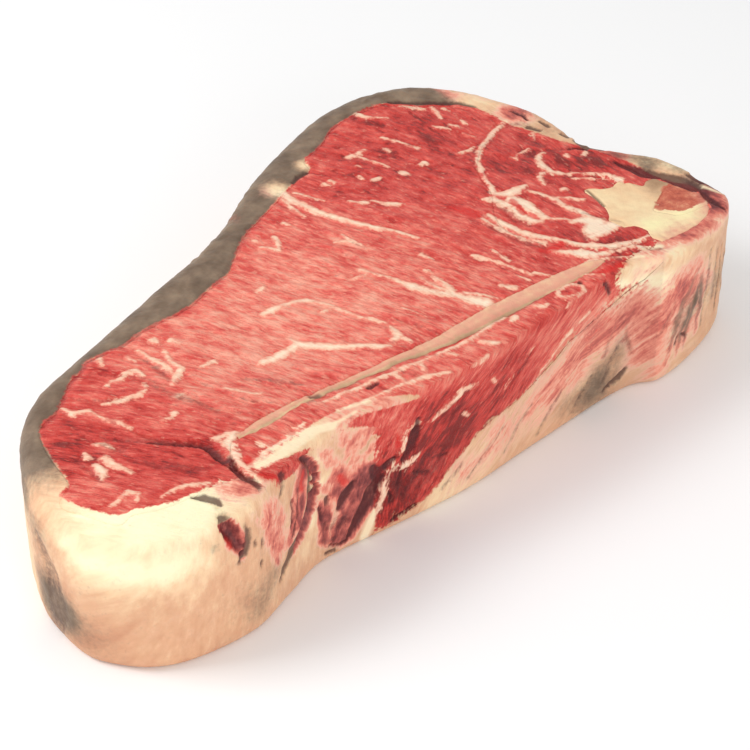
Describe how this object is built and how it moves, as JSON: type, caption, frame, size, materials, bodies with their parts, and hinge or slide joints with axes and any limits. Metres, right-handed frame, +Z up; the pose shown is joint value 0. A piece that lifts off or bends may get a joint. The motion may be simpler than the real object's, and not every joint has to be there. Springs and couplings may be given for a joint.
{
  "type": "raw bone-in steak",
  "caption": "Thick raw bone-in steak lying flat: a marbled eye of lean, a small end muscle, a thin side muscle, a flat bone and a fat cap.",
  "frame": {"origin": "under the middle of the steak's box, on the surface that it lies on", "axes": "+X along the sawn front, from the fat left end to the bony right end; +Y from the front towards the fat cap at the back; +Z up, out of the cut face"},
  "size_m": [0.2212, 0.1414, 0.0424],
  "materials": {
    "lean": "raw red lean, moist and finely grained, with cream marbling",
    "fat": "firm cream fat, smooth and waxy, peach and grey-brown where it has dried",
    "bone": "sawn bone, cream to grey, matt and slightly porous",
    "marrow": "orange-brown marrow in open spongy bone"
  },
  "bodies": {
    "root": {"fat_cap": "fat", "end_fat": "fat", "eye_muscle": "lean", "end_muscle": "lean", "side_muscle": "lean", "long_bone": "bone", "end_bone": "bone", "marrow": "marrow"}
  },
  "joints": []
}
